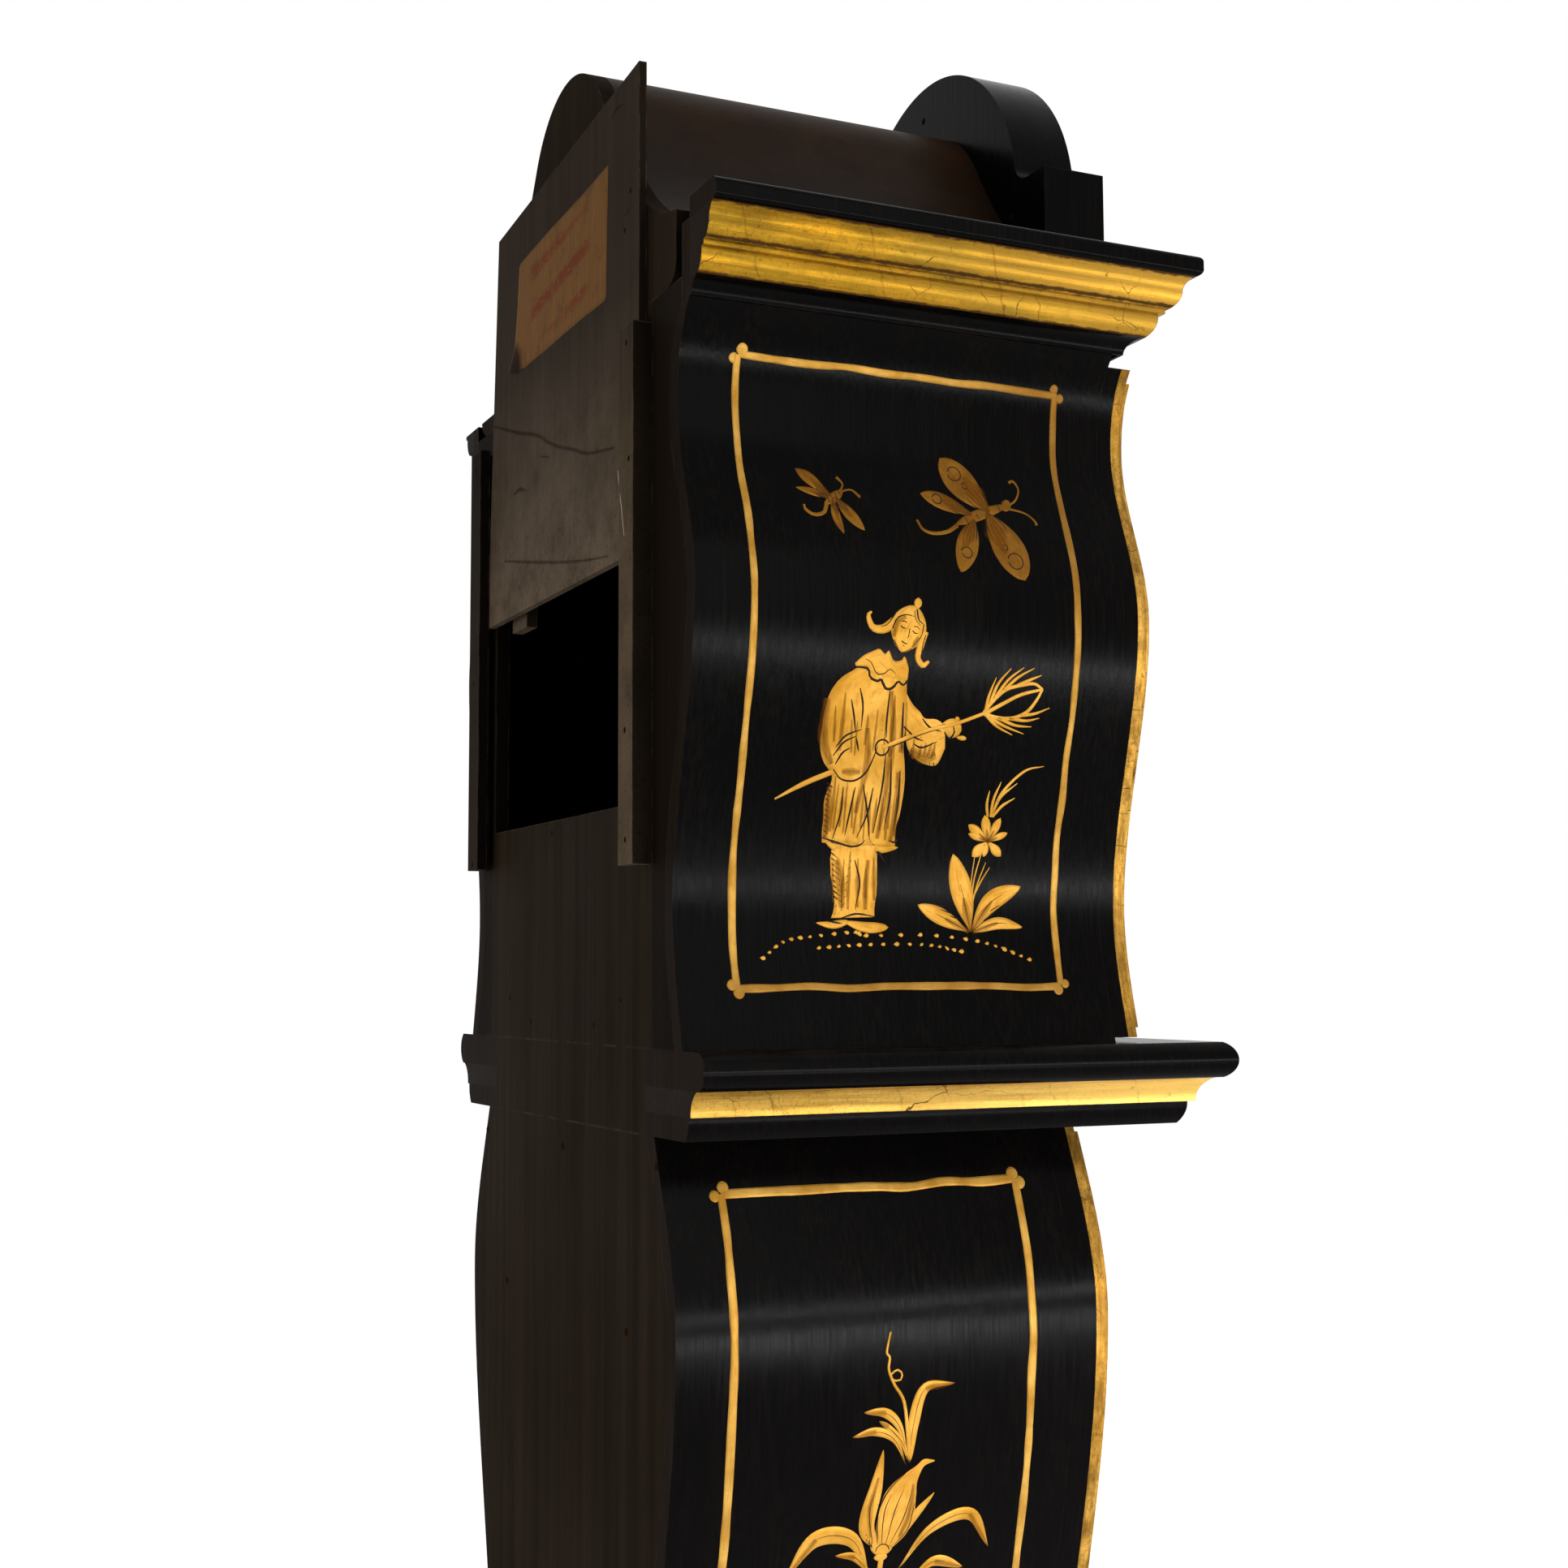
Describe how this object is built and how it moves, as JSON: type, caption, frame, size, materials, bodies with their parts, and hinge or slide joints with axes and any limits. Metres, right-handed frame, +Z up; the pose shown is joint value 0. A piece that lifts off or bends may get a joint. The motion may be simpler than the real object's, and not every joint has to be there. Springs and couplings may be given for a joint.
{
  "type": "longcase clock",
  "caption": "Free-standing longcase clock: serpentine black hood and trunk with gilt mouldings, arched top, round glazed dial, trunk door, pendulum, weights and a sliding back panel.",
  "frame": {"origin": "on the floor, at the centre of the bounding box's bottom", "axes": "+Z up, the dial faces -Y, +X is to the right of someone who faces the dial"},
  "size_m": [0.5226, 0.376, 2.202],
  "materials": {
    "lacquer": "satin black lacquer over wood, fine brush streaks",
    "gilt": "water-gilt gold leaf over red clay on wood, rubbed",
    "raw_wood": "old unfinished softwood, dark brown, matte",
    "roof_wood": "dark brown stained wood, satin",
    "plywood": "grey-brown plywood, matte, aged",
    "brass": "aged brass, satin",
    "steel": "dull steel",
    "blued_steel": "blued steel",
    "iron": "cast iron, matte black",
    "glass": "clear window glass",
    "dial_paint": "cream painted sheet iron",
    "gut": "twisted gut line"
  },
  "bodies": {
    "case": {"plinth": "lacquer", "base_side_left": "lacquer", "base_side_right": "lacquer", "base_front": "lacquer", "base_front_moulding": "gilt", "base_back": "raw_wood", "base_gilt_moulding": "gilt", "base_ledge_moulding": "lacquer", "trunk_side_left": "lacquer", "trunk_side_right": "lacquer", "trunk_back": "raw_wood", "trunk_front": "lacquer", "trunk_front_moulding": "gilt", "waist_foot_moulding": "lacquer", "waist_gilt_moulding": "gilt", "waist_ledge_moulding": "lacquer", "waist_back_rail": "raw_wood", "hood_side_left": "lacquer", "hood_side_right": "lacquer", "hood_back": "raw_wood", "back_rails": "raw_wood", "hood_front": "lacquer", "hood_front_moulding": "gilt", "hood_top_board": "roof_wood", "cornice_foot_moulding": "lacquer", "cornice_gilt_mouldings": "gilt", "cornice_top_moulding": "lacquer", "vault": "roof_wood", "vault_back": "raw_wood", "pediment": "lacquer", "case_hinge_leaves": "brass", "movement_frame": "brass", "seat_board": "raw_wood", "dial": "dial_paint", "bell": "brass"},
    "back_panel": {"back_panel": "plywood"},
    "bezel_door": {"bezel": "gilt", "dial_glass": "glass", "bezel_knuckle": "brass"},
    "trunk_door": {"trunk_door": "lacquer", "trunk_door_moulding": "gilt", "trunk_door_knuckles": "brass", "lock": "brass"},
    "lock_bolt": {"lock_bolt": "steel"},
    "key": {"trunk_key": "steel"},
    "centre_arbor": {"centre_wheel": "brass", "minute_hand": "blued_steel"},
    "hour_hand": {"hour_hand": "blued_steel"},
    "time_barrel": {"time_barrel": "brass"},
    "third_arbor": {"third_wheel": "brass"},
    "escape_arbor": {"escape_wheel": "brass"},
    "strike_barrel": {"strike_barrel": "brass"},
    "pendulum": {"pendulum_rod": "steel", "pendulum_bob": "brass"},
    "anchor": {"anchor": "steel"},
    "hammer": {"hammer": "steel"},
    "time_weight": {"time_weight": "iron", "time_line": "gut"},
    "strike_weight": {"strike_weight": "iron", "strike_line": "gut"}
  },
  "joints": [
    {"name": "panel_slide", "type": "slide", "parent": "case", "child": "back_panel", "axis": [0, 0, 1], "range_m": [-0.161, 0.054]},
    {"name": "bezel_hinge", "type": "hinge", "parent": "case", "child": "bezel_door", "pos_m": [0.163, -0.1335, 1.745], "axis": [0, 0, 1], "range_deg": [0, 110]},
    {"name": "trunk_door_hinge", "type": "hinge", "parent": "case", "child": "trunk_door", "pos_m": [0.168, -0.112, 0.99], "axis": [0, 0, 1], "range_deg": [0, 95]},
    {"name": "key_turn", "type": "hinge", "parent": "trunk_door", "child": "key", "pos_m": [-0.10421, -0.13, 1.25], "axis": [0, 1, 0], "range_deg": [0, 90]},
    {"name": "bolt_slide", "type": "slide", "parent": "trunk_door", "child": "lock_bolt", "axis": [-1, 0, 0], "range_m": [0, 0.012]},
    {"name": "centre_turn", "type": "hinge", "parent": "case", "child": "centre_arbor", "pos_m": [0, -0.06, 1.745], "axis": [0, 1, 0], "continuous": true},
    {"name": "hour_turn", "type": "hinge", "parent": "case", "child": "hour_hand", "pos_m": [0, -0.1, 1.745], "axis": [0, 1, 0], "continuous": true},
    {"name": "time_barrel_turn", "type": "hinge", "parent": "case", "child": "time_barrel", "pos_m": [-0.03136, -0.06, 1.71364], "axis": [0, 1, 0], "continuous": true},
    {"name": "third_turn", "type": "hinge", "parent": "case", "child": "third_arbor", "pos_m": [0.01814, -0.05, 1.77227], "axis": [0, 1, 0], "continuous": true},
    {"name": "escape_turn", "type": "hinge", "parent": "case", "child": "escape_arbor", "pos_m": [0, -0.06, 1.793], "axis": [0, 1, 0], "continuous": true},
    {"name": "strike_barrel_turn", "type": "hinge", "parent": "case", "child": "strike_barrel", "pos_m": [0.03136, -0.06, 1.71364], "axis": [0, 1, 0], "continuous": true},
    {"name": "pendulum_swing", "type": "hinge", "parent": "case", "child": "pendulum", "pos_m": [0, 0.006, 1.821], "axis": [0, 1, 0], "range_deg": [-3.5, 3.5]},
    {"name": "anchor_rock", "type": "hinge", "parent": "case", "child": "anchor", "pos_m": [0, -0.06, 1.821], "axis": [0, 1, 0], "range_deg": [-3.5, 3.5]},
    {"name": "hammer_lift", "type": "hinge", "parent": "case", "child": "hammer", "pos_m": [0.052, -0.054, 1.815], "axis": [0, 1, 0], "range_deg": [-2, 12], "stiffness_Nm_per_rad": 0.06},
    {"name": "time_weight_run", "type": "slide", "parent": "case", "child": "time_weight", "axis": [0, 0, 1], "range_m": [-0.85, 0.33], "deforming": ["time_line"]},
    {"name": "strike_weight_run", "type": "slide", "parent": "case", "child": "strike_weight", "axis": [0, 0, 1], "range_m": [-0.85, 0.33], "deforming": ["strike_line"]}
  ],
  "couplings": [
    {"joint": "bolt_slide", "follows": "key_turn", "m_per_rad": 0.0076394},
    {"joint": "third_turn", "follows": "centre_turn", "ratio": -8},
    {"joint": "hour_turn", "follows": "centre_turn", "ratio": 0.083333},
    {"joint": "time_barrel_turn", "follows": "centre_turn", "ratio": -0.11111},
    {"joint": "escape_turn", "follows": "centre_turn", "ratio": 60},
    {"joint": "anchor_rock", "follows": "pendulum_swing", "ratio": 1}
  ]
}
